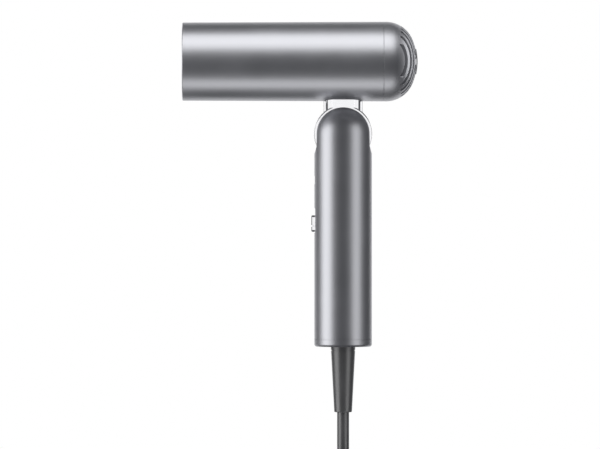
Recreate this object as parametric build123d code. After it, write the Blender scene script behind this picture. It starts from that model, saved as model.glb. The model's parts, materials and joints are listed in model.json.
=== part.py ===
"""A folding high-speed hair dryer: a round head on a chrome knuckle, hinged in a round handle's forked top.

Millimetres, +Z up. The origin is the middle of the hand grip, on the handle's axis. The air leaves the head
towards -X, and the head folds about the Y axis. The cord hangs straight down to a tied hank and its plug.
"""

from build123d import *
from math import atan2, cos, pi, radians, sin, sqrt
import os

# ---- Driving dimensions -------------------------------------------------------------------------------

# Handle
handle_radius = 20.0
handle_wall = 1.8
handle_length = 148.0  # from the bottom face up to the hinge axis
bottom_cap_height = 5.0
bottom_cap_floor = 3.0
bottom_edge_round = 1.8
spigot_depth = 4.0
spigot_wall = 1.5

# Head
head_height = 50.4  # the head's axis above the hinge axis
head_front_radius = 27.2
head_rear_radius = 27.7
head_bore = 25.6
head_front = 111.8  # from the hinge axis forward to the outlet
head_seam = 28.1  # from the hinge axis back to the rear cover
dome_straight = 1.7  # the rear cover's straight part, before the dome turns in
dome_shoulder = 20.0  # radius of the dome's shoulder
dome_crown = 40.0  # radius of the dome's crown
dome_wall = 1.8
seam_groove = 0.12

# Rear air inlet
grille_radius = 25.9
slot_reach = 24.9  # the slots end on a circle of this radius
slot_width = 2.0
slot_pitch = 4.0
slot_count = 12
cap_radius = 8.9
cap_rise = 0.5
cap_recess = 0.8
filter_thickness = 2.5
filter_rim = 1.3
filter_lip = 0.5
filter_mesh_thickness = 0.3

# Hinge
drum_radius = 20.2
drum_half_width = 7.45
drum_wall = 2.0
drum_rim_round = 1.0
drum_web = 1.85
hub_radius = 8.5
neck_width = 27.1
neck_depth = 14.9
neck_wall = 2.4
neck_post = 4.0  # wall at each end of the neck, which takes a screw
pin_radius = 4.0
pin_bore = 2.6
pin_head = 1.4
pin_clip_thickness = 0.9
bush_wall = 1.55
flange_radius = 8.0
cheek_thickness = 2.0
cheek_boss_radius = 7.0
cheek_boss_length = 4.25
fork_base_thickness = 4.0
fork_base_drop = 23.0  # the hinge axis down to the fork's base
detent_radius = 1.6
detent_offset = 13.0
saddle_thickness = 2.4
saddle_half_length = 19.0
saddle_half_depth = 12.0

# Screws
screw_radius = 0.9
screw_hole = 0.95
screw_head = 1.9
screw_head_height = 1.2
screw_length = 8.0
drive_slot = (2.4, 0.6, 1.0)

# Air outlet
outlet_set_back = 0.5
outlet_wall = 4.1
outlet_depth = 7.4
magnet_radius = 1.5
magnet_length = 3.0
magnet_count = 6
outlet_grille_thickness = 1.8
outlet_rings = (11.5, 17.0)
outlet_ring_width = 1.0
outlet_hub = 6.0
spoke_width = 1.2
spoke_count = 6
needle_radius = 1.2
needle_point = 1.2
needle_tail = 2.0

# Heater
liner_space = 3.2  # between the liner and the head's bore
liner_wall = 0.6
heater_rear = 42.0  # from the hinge axis forward to the heater's rear end
heater_board = 0.8
heater_board_inset = 3.4  # between the boards' edges and the liner
heater_end_tab = 6.0
coil_inset = 4.2  # between the windings' middle and the liner
coil_wire = 0.5
coil_end_space = 7.0  # bare board at each end of the windings
coil_pitch = 5.0

# Motor
motor_space = 10.6  # between the motor's bore and the head's bore
motor_wall = 2.0
motor_front = -20.0
motor_back = 10.0
motor_hub = 9.5
motor_hub_wall = 1.7
damper_thickness = 2.4
carrier_front = 2.0
carrier_back = 16.0
vane_count = 9
hub_front, hub_back = -18.5, 1.0
stator_front, stator_back = -13.0, -4.5
bearing_places = (-16.0, -1.5)
bearing_length = 2.5
shaft_radius = 1.5
bearing_radius = 3.5
rotor_magnet_radius = 4.2
air_gap = 0.4
blade_count = 13
blade_tip_clearance = 0.3

# Controls on the front of the handle
slider_low = 5.9
slider_height = 11.5
slider_width = 6.8
slider_proud = 2.05
slider_travel = 3.6
slider_groove_level = 4.1  # above the knob's foot
slider_groove = 1.06  # side of the square bar that cuts the groove
scoop_depth = 0.55
button_level = 42.0
button_width = 9.0
button_height = 5.6
button_set_back = 0.3
button_travel = 0.8
stem_width = 3.0
carriage_depth = 0.9  # between the slider's carriage and the handle's bore
carriage_thickness = 1.0
button_flange_depth = 1.2  # between the button's flange and the handle's bore
button_flange = 0.8
flange_lip = 1.0
tact_depth = 3.5  # between the tact switch's plunger and the handle's bore
tact_plunger = 0.8
lens_radius = 0.7
lens_levels = (27.5, 30.0, 32.5)

# Electronics
board_thickness = 1.6
power_board_face = 2.0
power_board_side = 2.0  # between the board's edges and the handle's bore
power_board_foot = 11.0  # above the chassis's foot
power_board_head = 7.0  # below the chassis's top
control_board_depth = 5.8  # between the board and the handle's bore
control_board_half_width = 12.0
control_board_margin = 3.0  # above the button's middle and below the slider switch
spacer_radius = 1.8
capacitor_radius = 5.0
capacitor_levels = (-46.0, -26.0)
choke_radius = 7.5
choke_bore = 3.0
choke_height = 6.5
choke_level = -14.0
chip_thickness = 2.4
chip_width = 10.0
chip_levels = (2.0, 18.0)
sink_levels = (0.0, 30.0)
sink_base = 1.4
sink_height = 5.0
fin_count = 5
fin_pitch = 3.6
fin_thickness = 1.0
loom_radius = 1.4
loom_gap = 0.9  # between the wires and the hinge pin's clip
cap_screw_inset = 4.6
fork_screw_inset = 3.52  # between the screws and the handle's bore
fork_screw_gap = 1.25
boss_radius = 2.6

# Strain relief, cord and plug
relief_top_radius = 8.55
relief_end_radius = 6.15
relief_length = 45.6
relief_flange_radius = 11.0
relief_flange = 2.5
cord_diameter = 8.35
cord_drop = 32.5  # straight cord between the strain relief and the hank
hank_bulb = 27.0  # centreline radius of the innermost end loop
hank_layers = 2  # turns side by side
hank_rows = 3  # turns front to back, counting the middle row, which holds only the lead and the tail
hank_half_run = 66.0  # middle of the hank to the centre of each end loop
tie_height = 20.0
tie_thickness = 1.6
plug_drop = 6.0  # cord between the hank and the plug
plug_length = 33.0
plug_width = 36.0
plug_depth = 26.0
plug_relief_length = 22.0
plug_groove_count = 4
plug_groove_start = 5.0
plug_groove_pitch = 4.0
plug_groove = 1.6
plug_pin_radius = 2.4
plug_pin_length = 19.0
plug_pin_spacing = 19.0

# Clearances
sliding_gap = 0.3  # between the drum and the fork's cheeks
drum_gap = 0.35  # between the drum's rim and the handle
fit_gap = 0.1  # between pieces that are assembled into each other
running_gap = 0.04  # between a shaft and its bearing

# ---- Places worked out from them ----------------------------------------------------------------------

hinge_z = handle_length / 2
bottom_z = -handle_length / 2
head_z = hinge_z + head_height
handle_bore = handle_radius - handle_wall
slot_half = max(drum_half_width, neck_depth / 2) + sliding_gap
dome_x = head_seam + dome_straight
front_x = -head_front
shoulder_r = head_rear_radius - dome_shoulder
crown_x = dome_x - sqrt((dome_crown - dome_shoulder) ** 2 - shoulder_r**2)
outlet_radius = head_bore - outlet_wall
liner_radius = head_bore - liner_space
heater_board_radius = liner_radius - heater_board_inset
coil_radius = liner_radius - coil_inset
motor_bore = head_bore - motor_space
spigot_inner = head_bore - fit_gap - spigot_wall
filter_radius = spigot_inner - fit_gap
outlet_front = front_x + outlet_set_back
outlet_back = outlet_front + outlet_depth
liner_front = outlet_back + outlet_grille_thickness
liner_back = -heater_rear
coil_count = 1 + int((liner_back - liner_front - 2 * coil_end_space) // coil_pitch)
cap_top_z = bottom_z + bottom_cap_height
chassis_bottom = cap_top_z + spigot_depth
chassis_top = hinge_z - fork_base_drop - fork_base_thickness
power_board_half_width = handle_bore - power_board_side
power_board_low = chassis_bottom + power_board_foot
power_board_high = chassis_top - power_board_head
control_board_face = control_board_depth - handle_bore
control_board_low = slider_low - 2 * control_board_margin + 0.1
control_board_high = button_level + control_board_margin
cap_screw_x = handle_bore - cap_screw_inset
fork_screw_y = slot_half + cheek_thickness + screw_head + fork_screw_gap
fork_screw_x = sqrt((handle_bore - fork_screw_inset) ** 2 - fork_screw_y**2)
fork_screw_places = [(x, y, 0) for x in (-fork_screw_x, fork_screw_x) for y in (-fork_screw_y, fork_screw_y)]
pin_end = slot_half + cheek_boss_length
loom_y = pin_end + pin_clip_thickness + loom_gap + loom_radius
carriage_outer = handle_bore - carriage_depth
carriage_inner = carriage_outer - carriage_thickness
tact_top = handle_bore - tact_depth
saddle_top = head_bore - saddle_thickness
saddle_screw_places = [side * (neck_width - neck_post) / 2 for side in (-1, 1)]
cord_radius = cord_diameter / 2
relief_end_z = bottom_z - relief_length
hank_top = relief_end_z - cord_drop
hank_outer = hank_bulb + (hank_layers - 1) * cord_diameter
hank_middle = hank_top - hank_half_run - hank_outer - cord_radius
hank_bottom = 2 * hank_middle - hank_top
tie_half_width = hank_layers * cord_diameter
hank_half_depth = hank_rows * cord_radius
plug_top = hank_bottom - plug_drop
plug_face = plug_top - plug_relief_length - plug_length

ALONG = {"X": Rot(0, 90, 0), "Y": Rot(-90, 0, 0), "Z": Rot(0, 0, 0)}


# ---- Small helpers ------------------------------------------------------------------------------------


def rod(axis, start, end, radius, bore=0.0, at=(0.0, 0.0, 0.0)):
    """A round bar, or a tube where a bore is given, from start to end along one axis through a point."""
    place = (Align.CENTER, Align.CENTER, Align.MIN)
    shape = Cylinder(radius, end - start, align=place)
    if bore > 0:
        shape -= Cylinder(bore, end - start, align=place)
    return Pos(*at) * ALONG[axis] * Pos(0, 0, start) * shape


def block(x, y, z):
    """A box given by its lowest and highest place along each axis."""
    size = [high - low for low, high in (x, y, z)]
    middle = [(high + low) / 2 for low, high in (x, y, z)]
    return Pos(*middle) * Box(*size)


def on_head(shape):
    """Moves a shape made round the X axis up to the head's axis."""
    return Pos(0, 0, head_z) * shape


def at_hinge(shape):
    """Moves a shape made round the Y axis up to the hinge axis."""
    return Pos(0, 0, hinge_z) * shape


def turned(*lines):
    """Turns an outline, drawn as (along X, radius), round the X axis."""
    outline = [edge for line in lines for edge in line.edges()]
    return revolve(Plane.XZ * make_face(outline), Axis.X)


def turned_points(*points):
    """Turns a straight-sided outline round the X axis."""
    return revolve(Plane.XZ * make_face(Polyline(*points, close=True)), Axis.X)


def ring_of(count, radius, shape, start=0.0):
    """Copies of a shape on a circle round the X axis, each turned with its place."""
    spots = [Rot(start + i * 360 / count, 0, 0) * Pos(0, 0, radius) for i in range(count)]
    return [spot * shape for spot in spots]


def stadium(width, depth, low, high):
    """A bar with full-round ends, wide along X, upright along Z."""
    return extrude(Plane.XY.offset(low) * SlotOverall(width, depth), high - low)


# ---- The dome at the back of the head -----------------------------------------------------------------


def dome_place(radius, inset):
    """The place along X where the dome, taken in by inset, has this radius on its shoulder."""
    return dome_x + sqrt((dome_shoulder - inset) ** 2 - (radius - shoulder_r) ** 2)


def crown_edges(inset, rim):
    """The dome's outline from a rim point on the shoulder to its tip: a shoulder arc, then a crown arc."""
    angle = atan2(shoulder_r, dome_x - crown_x)
    shoulder, crown = dome_shoulder - inset, dome_crown - inset
    start = atan2(rim[1] - shoulder_r, rim[0] - dome_x)
    halfway = (start + angle) / 2
    join = (crown_x + crown * cos(angle), crown * sin(angle))
    on_shoulder = (dome_x + shoulder * cos(halfway), shoulder_r + shoulder * sin(halfway))
    on_crown = (crown_x + crown * cos(angle / 2), crown * sin(angle / 2))
    tip = (crown_x + crown, 0)
    return ThreePointArc(rim, on_shoulder, join), ThreePointArc(join, on_crown, tip)


def rim_point(inset):
    """Where the joint between the rear cover and the grille crosses the dome, square to its surface."""
    angle = atan2(grille_radius - shoulder_r, dome_place(grille_radius, 0) - dome_x)
    reach = dome_shoulder - inset
    return dome_x + reach * cos(angle), shoulder_r + reach * sin(angle)


def shoulder_arc(inset):
    """The rear cover's part of the shoulder, from the straight part to the grille's rim."""
    end = rim_point(inset)
    reach = dome_shoulder - inset
    halfway = (pi / 2 + atan2(end[1] - shoulder_r, end[0] - dome_x)) / 2
    middle = (dome_x + reach * cos(halfway), shoulder_r + reach * sin(halfway))
    return (dome_x, shoulder_r + reach), middle, end


# ---- Rear cover, which pulls off for cleaning ---------------------------------------------------------


def make_rear_cover():
    outer_start, outer_middle, outer_end = shoulder_arc(0)
    inner_start, inner_middle, inner_end = shoulder_arc(dome_wall)
    seam = head_seam + seam_groove
    spigot_end = head_seam - spigot_depth
    spigot_outer = head_bore - fit_gap
    corners = [
        inner_start,
        (dome_x, spigot_inner),
        (spigot_end, spigot_inner),
        (spigot_end, spigot_outer),
        (seam, spigot_outer),
        (seam, head_rear_radius - seam_groove),
        (seam + seam_groove, head_rear_radius),
        outer_start,
    ]
    return on_head(
        turned(
            Polyline(*corners),
            ThreePointArc(outer_start, outer_middle, outer_end),
            Line(outer_end, inner_end),
            ThreePointArc(inner_end, inner_middle, inner_start),
        )
    )


def make_inlet_grille():
    outer, inner = rim_point(0), rim_point(dome_wall)
    dome = turned(
        *crown_edges(0, outer),
        Line((crown_x + dome_crown, 0), (crown_x + dome_crown - dome_wall, 0)),
        *crown_edges(dome_wall, inner),
        Line(inner, outer),
    )
    reach = dome_x + dome_crown
    keep = rod("X", 0, reach, cap_radius + slot_width / 2)
    for i in range(slot_count):
        y = (i - (slot_count - 1) / 2) * slot_pitch
        length = 2 * sqrt(slot_reach**2 - y**2)
        outline = Plane.YZ.offset(dome_x) * Pos(y, 0) * SlotOverall(length, slot_width, rotation=90)
        slot = extrude(outline, reach)
        dome -= slot - keep
    seat = crown_x + sqrt(dome_crown**2 - cap_radius**2) - cap_recess
    return on_head(dome - rod("X", seat, reach, cap_radius + fit_gap / 2))


def make_centre_cap():
    foot = crown_x + sqrt(dome_crown**2 - cap_radius**2) - cap_recess
    surface = Pos(crown_x, 0, 0) * Sphere(dome_crown + cap_rise)
    cap = rod("X", foot, dome_x + dome_crown, cap_radius) & surface
    return on_head(fillet(cap.edges().group_by(Axis.X)[-1], cap_rise / 2))


def mesh_disc():
    """The filter's mesh, which is let into the back of its frame."""
    return rod("X", head_seam - filter_mesh_thickness, head_seam, filter_radius - filter_lip)


def make_filter_frame():
    """A ring that sits in the bore of the rear cover's spigot."""
    frame = rod("X", head_seam - filter_thickness, head_seam, filter_radius, filter_radius - filter_rim)
    return on_head(frame - mesh_disc())


def make_filter_mesh():
    return on_head(mesh_disc())


# ---- Head: tube, outlet and heater --------------------------------------------------------------------


def neck_bar(gap, low, high):
    """The neck's outer shape with a gap all round."""
    return stadium(neck_width + 2 * gap, neck_depth + 2 * gap, low, high)


def make_head_tube():
    edge = 0.4
    tube = on_head(
        turned_points(
            (front_x, head_bore),
            (front_x, head_front_radius - edge),
            (front_x + edge, head_front_radius),
            (head_seam - seam_groove, head_rear_radius),
            (head_seam, head_rear_radius - seam_groove),
            (head_seam, head_bore),
        )
    )
    return tube - neck_bar(fit_gap, hinge_z, head_z - head_bore / 2)


def make_outlet_ring():
    lead_in = 0.8
    ring = turned_points(
        (outlet_front, outlet_radius + lead_in),
        (outlet_front, head_bore - lead_in / 2),
        (outlet_front + lead_in / 2, head_bore),
        (outlet_back, head_bore),
        (outlet_back, outlet_radius),
        (outlet_front + lead_in, outlet_radius),
    )
    return on_head(ring - magnet_shapes(0))


def magnet_shapes(inset):
    middle = (outlet_radius + head_bore) / 2
    magnet = rod("X", outlet_back - magnet_length, outlet_back, magnet_radius - inset)
    return ring_of(magnet_count, middle, magnet)


def make_attachment_magnets():
    return on_head(Compound(children=magnet_shapes(0)))


def make_outlet_grille():
    front, back = outlet_back, liner_front
    grille = rod("X", front, back, head_bore, liner_radius) + rod("X", front, back, outlet_hub)
    for radius in outlet_rings:
        grille += rod("X", front, back, radius + outlet_ring_width / 2, radius - outlet_ring_width / 2)
    spoke = block((front, back), (-spoke_width / 2, spoke_width / 2), (outlet_hub - 1, liner_radius + 1))
    for copy in ring_of(spoke_count, 0, spoke, start=30):
        grille += copy
    socket = rod("X", front, back, needle_radius)
    return on_head(grille - socket)


def make_ion_needle():
    """A pointed electrode that stays behind the grille's front face."""
    tip, shoulder = outlet_back + fit_gap, outlet_back + needle_point
    stem = rod("X", shoulder, liner_front + needle_tail, needle_radius)
    point = Pos((tip + shoulder) / 2, 0, 0) * ALONG["X"] * Cone(0.1, needle_radius, shoulder - tip)
    return on_head(stem + point)


def make_heater_liner():
    return on_head(rod("X", liner_front, liner_back, liner_radius + liner_wall, liner_radius))


def coil_places():
    middle = (liner_front + liner_back) / 2
    return [middle + (i - (coil_count - 1) / 2) * coil_pitch for i in range(coil_count)]


def make_heater_frame():
    front, back = liner_front + 3, liner_back - 1
    half = heater_board / 2
    flat = block((front, back), (-half, half), (-heater_board_radius, heater_board_radius))
    tabs = liner_radius - fit_gap
    for start, end in ((front, front + heater_end_tab), (back - heater_end_tab, back)):
        flat += block((start, end), (-half, half), (-tabs, tabs))
    notch_depth = coil_radius - coil_wire - fit_gap
    for x in coil_places():
        notch = coil_wire + 0.2
        for side in (1, -1):
            low, high = sorted((side * notch_depth, side * liner_radius))
            flat -= block((x - notch, x + notch), (-1, 1), (low, high))
    return on_head(flat + Rot(90, 0, 0) * flat)


def make_heater_coils():
    ring = ALONG["X"] * Torus(coil_radius, coil_wire)
    return on_head(Compound(children=[Pos(x, 0, 0) * ring for x in coil_places()]))


def make_thermal_cutout():
    half = heater_board / 2
    x = liner_back - 16
    return on_head(block((x, x + 11), (half, half + 3), (5, 10)))


# ---- Head: motor --------------------------------------------------------------------------------------


def make_flow_duct():
    wall = 1.0
    flange = 2.0
    return on_head(
        turned_points(
            (motor_front, motor_bore),
            (motor_front, motor_bore + motor_wall),
            (liner_back + flange, liner_radius + wall),
            (liner_back + flange, head_bore),
            (liner_back, head_bore),
            (liner_back, liner_radius),
            (liner_back + flange, liner_radius),
        )
    )


def make_motor_carrier():
    """A ring that holds the motor's damper, with a bell mouth that leads the air in."""
    seat = motor_bore + motor_wall + damper_thickness
    mouth = (carrier_back, head_bore - 1.5)
    throat = (motor_back, motor_bore)
    bend = (motor_back + 1.6, motor_bore + 5.2)
    ring = turned(
        Polyline(throat, (motor_back, seat), (carrier_front, seat), (carrier_front, head_bore)),
        Polyline((carrier_front, head_bore), (carrier_back, head_bore), mouth),
        ThreePointArc(mouth, bend, throat),
    )
    carrier = on_head(ring) - on_head(saddle_plate(fit_gap))
    over_heads = head_z - saddle_top + screw_head_height + fit_gap
    for x in saddle_screw_places:
        carrier -= rod("Z", hinge_z, over_heads, screw_head + 2 * fit_gap, at=(x, 0, 0))
    return carrier


def make_motor_damper():
    outside = motor_bore + motor_wall
    return on_head(rod("X", carrier_front, motor_back, outside + damper_thickness, outside))


def make_motor_casing():
    hub_bore = motor_hub - motor_hub_wall
    casing = rod("X", motor_front, motor_back, motor_bore + motor_wall, motor_bore)
    casing += rod("X", hub_front, hub_back, motor_hub, hub_bore)
    for x in bearing_places:
        casing += rod("X", x, x + bearing_length, hub_bore + 0.5, bearing_radius)
    vane = block((stator_front, stator_back), (-0.5, 0.5), (hub_bore + 1, motor_bore + 1))
    for copy in ring_of(vane_count, 0, Rot(0, 0, 12) * vane):
        casing += copy
    trim = rod("X", motor_front, motor_back, 2 * motor_bore, motor_bore + motor_wall)
    return on_head(casing - trim)


def make_stator_core():
    outside = motor_hub - motor_hub_wall
    core = rod("X", stator_front, stator_back, outside, rotor_magnet_radius + air_gap)
    slot = block((stator_front, stator_back), (-0.8, 0.8), (rotor_magnet_radius + 1.2, outside - 1.2))
    for copy in ring_of(3, 0, slot):
        core -= copy
    return on_head(core)


def make_motor_bearings():
    bore = shaft_radius + running_gap
    both = [rod("X", x, x + bearing_length, bearing_radius, bore) for x in bearing_places]
    return on_head(Compound(children=both))


def make_motor_board():
    thickness = 1.2
    return on_head(rod("X", hub_front - thickness, hub_front, motor_hub, shaft_radius + 1))


def make_rotor_shaft():
    shaft = rod("X", bearing_places[0] - 1, motor_back - 1, shaft_radius)
    magnet = rod("X", stator_front, stator_back, rotor_magnet_radius)
    return on_head(shaft + magnet)


def make_impeller():
    front, back = hub_back + 0.6, motor_back - 1.5
    hub_radius_front, nose = 7.5, 3.0
    tip = motor_bore - blade_tip_clearance
    hub = Pos((front + back) / 2, 0, 0) * ALONG["X"] * Cone(hub_radius_front, nose, back - front)
    blade_middle = (front + back) / 2
    root = 2.2
    blade = Pos(blade_middle, 0, (tip + root) / 2) * Rot(0, 0, 38) * Box(7.2, 0.7, tip - root + 2)
    wheel = hub
    for copy in ring_of(blade_count, 0, blade):
        wheel += copy
    envelope = rod("X", front, back, tip, shaft_radius)
    return on_head(wheel & envelope)


# ---- Knuckle and hinge --------------------------------------------------------------------------------


def make_knuckle():
    """The chrome drum between the fork's cheeks and the neck that carries the head."""
    drum = rod("Y", -drum_half_width, drum_half_width, drum_radius)
    drum = fillet(drum.edges().filter_by(GeomType.CIRCLE), drum_rim_round)
    neck = neck_bar(0, 0, head_height)
    hollow = stadium(neck_width - 2 * neck_post, neck_depth - 2 * neck_wall, 0, head_height)
    cavity_half = drum_half_width - drum_web
    cavity = rod("Y", -cavity_half, cavity_half, drum_radius - drum_wall)
    hub = rod("Y", -cavity_half, cavity_half, hub_radius)
    body = drum + neck - cavity - hollow + hub
    body -= rod("Y", -drum_half_width, drum_half_width, pin_radius + running_gap + bush_wall)
    body -= rod("Z", 0, hub_radius + 1, 3.0)
    for x in saddle_screw_places:
        body -= rod("Z", head_height - saddle_top - screw_length, head_height, screw_hole, at=(x, 0, 0))
    pocket_floor = 2 * detent_radius - drum_half_width
    body -= rod("Y", -drum_half_width, pocket_floor, detent_radius, at=(0, 0, -detent_offset))
    head_inside = Pos(0, 0, head_height) * rod("X", -head_front, head_seam, head_bore)
    return at_hinge(body - head_inside)


def make_detent_ball():
    middle = drum_half_width + sliding_gap - 0.05 - detent_radius
    return at_hinge(Pos(0, -middle, -detent_offset) * Sphere(detent_radius - 0.05))


def saddle_plate(gap=0.0):
    """A curved plate inside the foot of the head's tube, over the neck, made round the X axis."""
    outside = head_bore + 10 * gap
    plate = rod("X", -head_front, head_seam, outside, saddle_top - gap)
    half_length, half_depth = saddle_half_length + gap, saddle_half_depth + gap
    return plate & block((-half_length, half_length), (-half_depth, half_depth), (-outside, 0))


def make_knuckle_saddle():
    plate = on_head(saddle_plate())
    plate -= stadium(neck_width - 2 * neck_post, neck_depth - 2 * neck_wall, hinge_z, head_z)
    for x in saddle_screw_places:
        plate -= rod("Z", hinge_z, head_z, screw_radius + 0.2, at=(x, 0, 0))
    return plate


def make_saddle_screws():
    seat = head_z - saddle_top + 0.1
    screws = []
    for x in saddle_screw_places:
        shank = rod("Z", seat - screw_length, seat, screw_radius, at=(x, 0, 0))
        head = rod("Z", seat, seat + screw_head_height - 0.1, screw_head, at=(x, 0, 0))
        drive = Pos(x, 0, seat + screw_head_height) * Box(*drive_slot)
        screws.append(shank + head - drive)
    return Compound(children=screws)


def make_hinge_bushes():
    bore = pin_radius + running_gap
    inner_end = 3.2
    bushes = []
    for side in (1, -1):
        sleeve = rod("Y", inner_end, drum_half_width, bore + bush_wall, bore)
        flange = rod("Y", drum_half_width, drum_half_width + sliding_gap - 0.05, flange_radius, bore)
        bush = sleeve + flange
        bushes.append(bush if side > 0 else mirror(bush, Plane.XZ))
    return at_hinge(Compound(children=bushes))



def make_hinge_pin():
    """A hollow pin: the wires enter its end and leave through the window in its middle."""
    tail = pin_end + pin_clip_thickness
    pin = rod("Y", -pin_end, tail, pin_radius) + rod("Y", -pin_end - pin_head, -pin_end, pin_radius + 2)
    pin -= rod("Y", -3, tail, pin_bore)
    return at_hinge(pin - block((-pin_radius, pin_radius), (-3, 3), (0.4, pin_radius)))


def make_pin_clip():
    clip = rod("Y", pin_end, pin_end + pin_clip_thickness, pin_radius + 2, pin_radius)
    return at_hinge(clip - block((-1, 1), (0, 2 * pin_end), (-2 * pin_radius, 0)))


def fork_envelope(gap):
    """The inside of the handle's top, taken in by a gap."""
    radius = handle_bore - gap
    return rod("Z", -handle_length, 0, radius) + Sphere(radius)


def make_hinge_fork():
    low = -fork_base_drop - fork_base_thickness
    base = rod("Z", low, -fork_base_drop, handle_bore)
    cheeks = []
    for side in (-1, 1):
        near, far = sorted((side * slot_half, side * (slot_half + cheek_thickness)))
        cheeks.append(block((-handle_bore, handle_bore), (near, far), (low, handle_bore)))
        near, far = sorted((side * slot_half, side * pin_end))
        cheeks.append(rod("Y", near, far, cheek_boss_radius))
    fork = (base + cheeks) & fork_envelope(fit_gap)
    fork -= rod("Y", -pin_end, pin_end, pin_radius)
    fork -= rod("Z", low, -fork_base_drop, 2.2, at=(0, loom_y, 0))
    for place in fork_screw_places:
        fork -= rod("Z", low, -fork_base_drop, screw_radius + 0.2, at=place)
    for angle in (-90, 0, 90):
        dimple = Rot(0, angle, 0) * Pos(0, -slot_half, -detent_offset) * Sphere(1.0)
        fork -= dimple
    return at_hinge(fork)


def make_fork_screws():
    top = hinge_z - fork_base_drop
    screws = []
    for place in fork_screw_places:
        head = rod("Z", top, top + screw_head_height, screw_head, at=place)
        drive = Pos(place[0], place[1], top + screw_head_height) * Box(*drive_slot)
        screws.append(head + rod("Z", top - screw_length, top, screw_radius, at=place) - drive)
    return Compound(children=screws)


def make_handle_loom():
    """Wires from the power board, up behind one ear of the fork and into the hollow pin."""
    bend = 3.0
    start, end = (0, loom_y, chassis_top - 6), (0, 2.5, hinge_z)
    path = FilletPolyline(start, (0, loom_y, hinge_z), end, radius=bend)
    return sweep(Plane(start, z_dir=(0, 0, 1)) * Circle(loom_radius), path=path)


def make_head_loom():
    low, high = hinge_z + pin_radius + 0.3, head_z - motor_bore - motor_wall - fit_gap
    return rod("Z", low, high, loom_radius)


# ---- Handle -------------------------------------------------------------------------------------------


def scoop():
    """The flat thumb recess that the slider runs in, with a ramp at each end."""
    floor = handle_radius - scoop_depth
    low, high = slider_low - 0.4, slider_low + slider_height + slider_travel + 0.4
    ramp = 1.6
    outline = [
        (-floor, low),
        (-floor, high),
        (-handle_radius - 1, high + ramp * (1 + 1 / scoop_depth)),
        (-handle_radius - 1, low - 1),
    ]
    return extrude(Plane.XZ * make_face(Polyline(*outline, close=True)), handle_radius, both=True)


def button_pill(gap, near, far):
    """The heat button's outline with a gap all round, between two depths from the handle's axis."""
    outline = SlotOverall(button_width + 2 * gap, button_height + 2 * gap)
    return extrude(Plane.YZ.offset(-far) * Pos(0, button_level) * outline, far - near)


def make_handle_shell():
    outside = rod("Z", cap_top_z + seam_groove, hinge_z, handle_radius)
    outside += Pos(0, 0, hinge_z) * Sphere(handle_radius)
    inside = rod("Z", cap_top_z, hinge_z, handle_bore) + Pos(0, 0, hinge_z) * Sphere(handle_bore)
    shell = outside - inside
    # The fork's slot is open to both sides, and its foot is rounded like the neck that swings into it.
    foot = hinge_z - neck_width / 2 - sliding_gap
    width = 2 * slot_half
    tall = handle_length
    outline = Pos(0, foot + tall / 2) * SlotOverall(tall, width, rotation=90)
    shell -= extrude(Plane.YZ * outline, 2 * handle_radius, both=True)
    shell -= at_hinge(rod("Y", -slot_half, slot_half, drum_radius + drum_gap))
    shell -= scoop()
    low, high = slider_stem()
    stem_slot = extrude(
        Plane.YZ.offset(-handle_radius - 1)
        * Pos(0, (low + high + slider_travel) / 2)
        * SlotOverall(high - low + slider_travel + 2 * fit_gap, stem_width + 2 * fit_gap, rotation=90),
        handle_wall + 3,
    )
    shell -= stem_slot
    shell -= button_pill(fit_gap + 0.05, handle_bore / 2, handle_radius + 1)
    for level in lens_levels:
        shell -= rod("X", -handle_radius - 1, -handle_bore / 2, lens_radius, at=(0, 0, level))
    return shell


def slider_stem():
    """The lowest and highest place of the slider's stem at rest."""
    return slider_low + 3.0, slider_low + 7.0


def make_power_slider():
    floor = handle_radius - scoop_depth + fit_gap
    top = handle_radius + slider_proud
    half = slider_width / 2
    knob = block((-top, -floor), (-half, half), (slider_low, slider_low + slider_height))
    knob = fillet(knob.edges().filter_by(Axis.X), 1.6)
    knob = chamfer(knob.faces().sort_by(Axis.X)[0].edges(), 0.5)
    level = slider_low + slider_groove_level
    knob -= Pos(-top, 0, level) * Rot(0, 45, 0) * Box(slider_groove, slider_width, slider_groove)
    for side in (-half, half):
        knob -= Pos(-top, side, level) * Rot(45, 0, 0) * Box(2 * slider_proud, slider_groove, slider_groove)
    low, high = slider_stem()
    stem = extrude(
        Plane.YZ.offset(-floor) * Pos(0, (low + high) / 2) * SlotOverall(high - low, stem_width, rotation=90),
        floor - carriage_inner,
    )
    carriage = block((-carriage_outer, -carriage_inner), (-3.4, 3.4), (low - 3, high + 3))
    return knob + stem + carriage


def make_heat_button():
    face = handle_radius - button_set_back
    flange_outer = handle_bore - button_flange_depth
    flange_inner = flange_outer - button_flange
    cap = button_pill(0, flange_inner, face)
    cap = fillet(cap.faces().sort_by(Axis.X)[0].edges(), 0.35)
    flange = extrude(
        Plane.YZ.offset(-flange_outer)
        * Pos(0, button_level)
        * SlotOverall(button_width + 2 * flange_lip, button_height + 2 * flange_lip),
        flange_outer - flange_inner,
    )
    stem = rod("X", -flange_inner, -tact_top - button_travel - fit_gap, 1.4, at=(0, 0, button_level))
    return cap + flange + stem


def make_indicator_lenses():
    """Three light pipes, flush outside, each with a collar inside the shell."""
    lenses = []
    for level in lens_levels:
        pipe = rod("X", -handle_radius, -handle_bore + 2.4, lens_radius, at=(0, 0, level))
        collar = rod("X", -handle_bore + 0.1, -handle_bore + 2.4, lens_radius + 0.3, at=(0, 0, level))
        lenses.append(pipe + collar)
    return Compound(children=lenses)


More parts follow.
